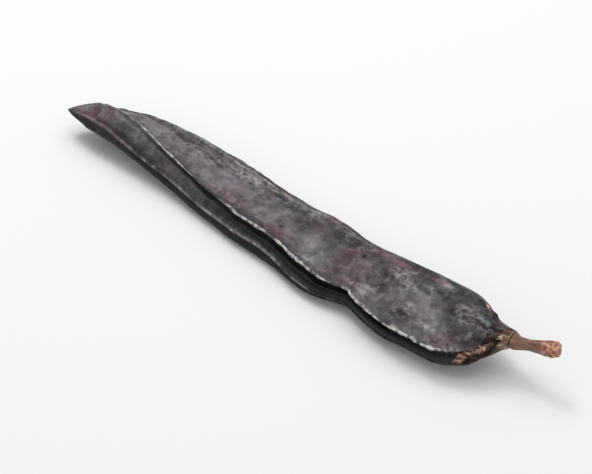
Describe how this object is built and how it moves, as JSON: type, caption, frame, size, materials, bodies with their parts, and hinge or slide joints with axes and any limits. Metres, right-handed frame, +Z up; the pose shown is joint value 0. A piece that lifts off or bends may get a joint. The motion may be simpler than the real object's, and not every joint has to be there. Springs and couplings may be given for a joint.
{
  "type": "carob pod",
  "caption": "Dried carob pod with its stalk: a flat, slightly twisted leathery seed pod with ribbed edges and a short woody stem, lying on its broad side.",
  "frame": {"origin": "on the surface that the pod lies on, under the middle of its bounding box", "axes": "+X along the pod from its tip to its stalk, +Y to the back, +Z up"},
  "size_m": [0.1849, 0.0315, 0.0169],
  "materials": {
    "pod_skin": "dried leathery skin, dark purplish brown, satin, with a grey bloom",
    "stalk_wood": "dry reddish brown stem, wrinkled, with a pale broken end"
  },
  "bodies": {
    "root": {"pod": "pod_skin", "stalk": "stalk_wood"}
  },
  "joints": []
}
